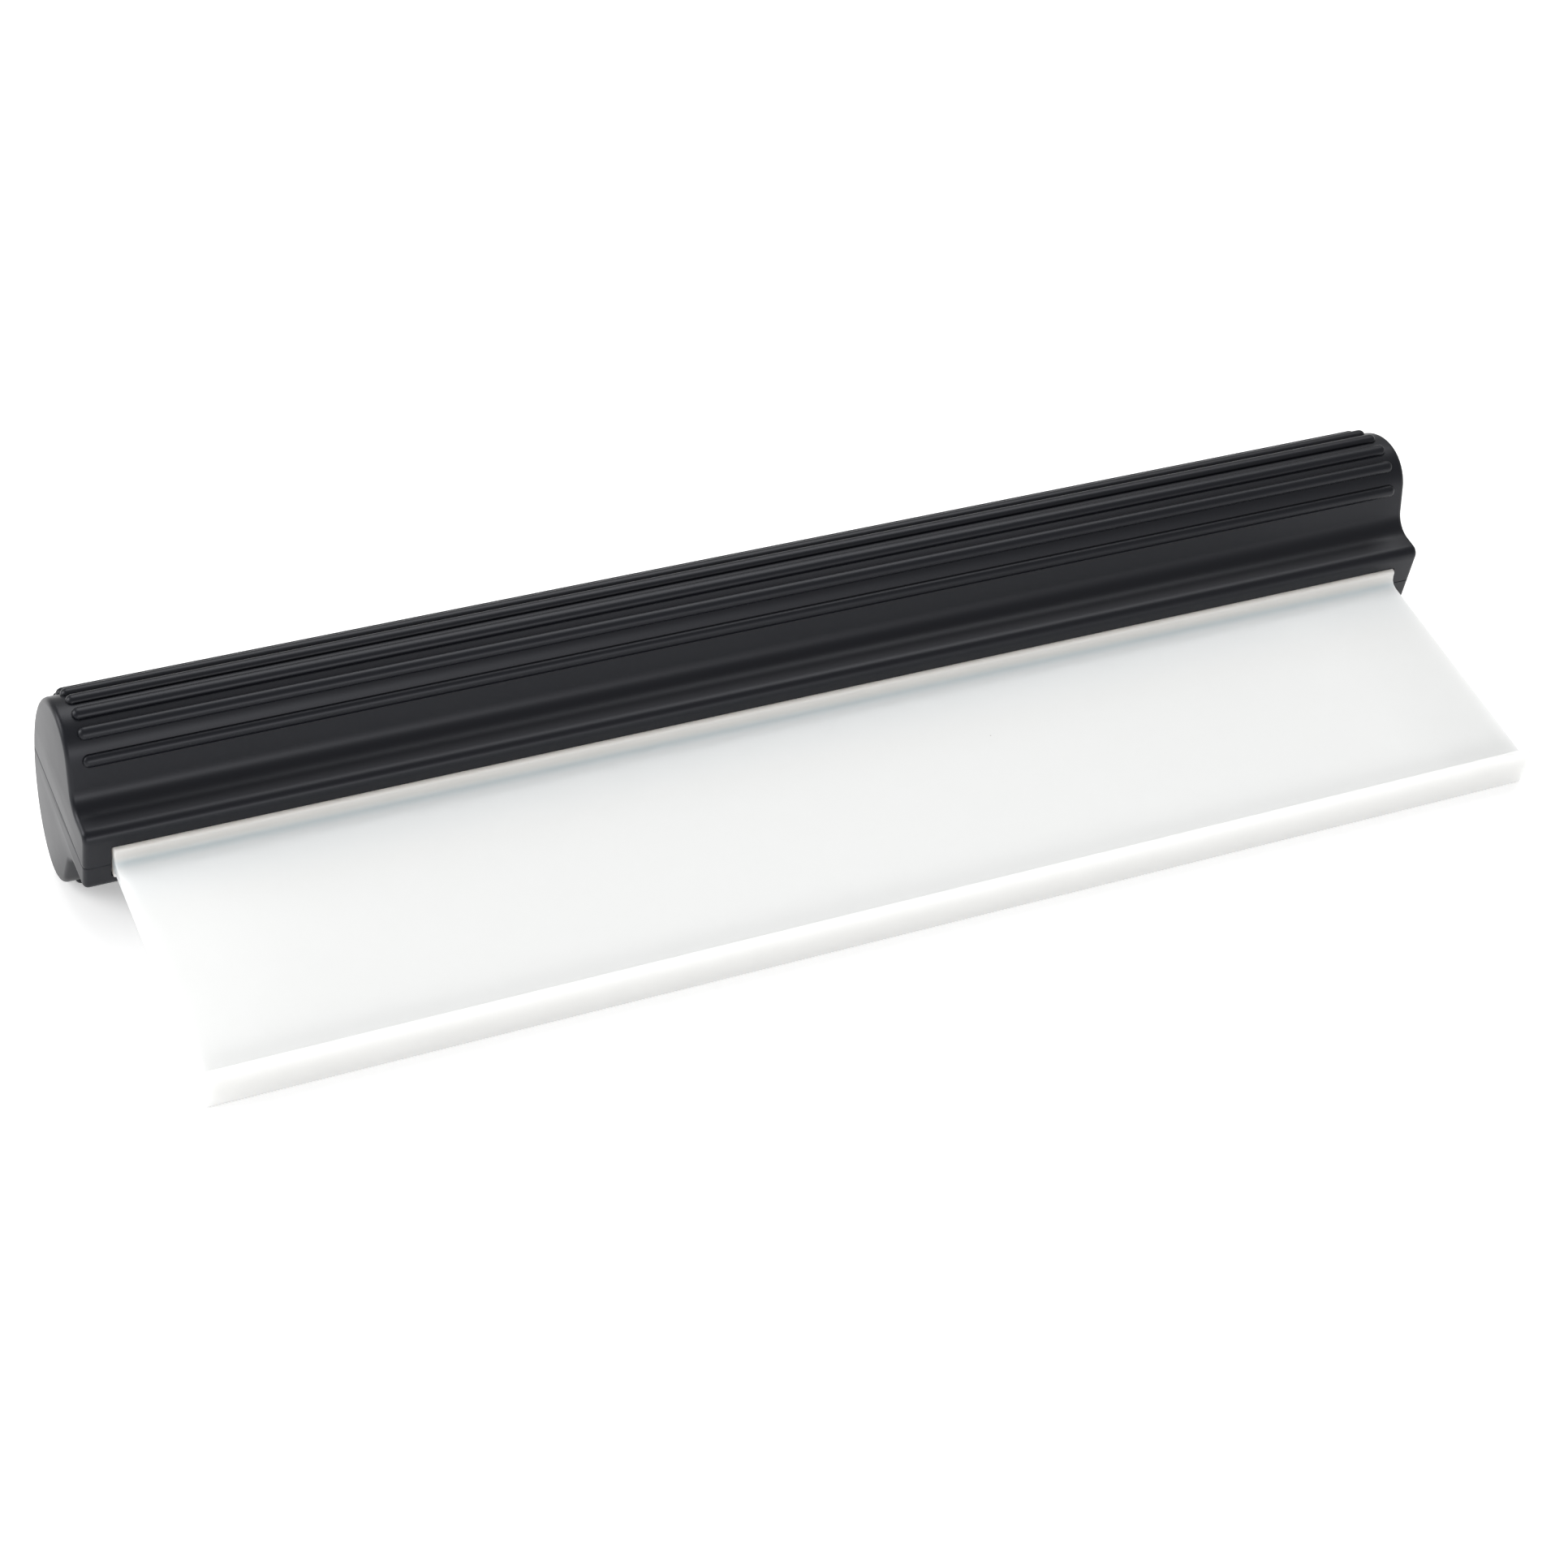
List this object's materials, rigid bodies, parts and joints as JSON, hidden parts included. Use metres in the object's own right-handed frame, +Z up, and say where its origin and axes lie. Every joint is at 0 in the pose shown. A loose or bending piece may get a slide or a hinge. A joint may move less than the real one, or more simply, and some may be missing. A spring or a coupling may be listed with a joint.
{
  "type": "window squeegee",
  "caption": "Hand squeegee for windows: ribbed clamshell grip with a wide flexible silicone blade that ends in a T-shaped wiping edge.",
  "frame": {"origin": "on the floor, under the middle of the tool's outline as it lies on the underside of its grip and the lower lip of its wiping edge", "axes": "+X along the handle, +Y from the wiping edge back to the grip, +Z up"},
  "size_m": [0.317, 0.099, 0.0501],
  "materials": {
    "handle_plastic": "satin black moulded plastic",
    "blade_silicone": "translucent milky silicone, smooth"
  },
  "bodies": {
    "handle": {"handle_upper": "handle_plastic", "handle_lower": "handle_plastic", "blade_root": "blade_silicone"},
    "blade": {"blade_web": "blade_silicone"}
  },
  "joints": [
    {"name": "blade_flex", "type": "hinge", "parent": "handle", "child": "blade", "pos_m": [0, 0.00726, 0.0185], "axis": [1, 0, 0], "range_deg": [-30, 30], "stiffness_Nm_per_rad": 0.4}
  ]
}
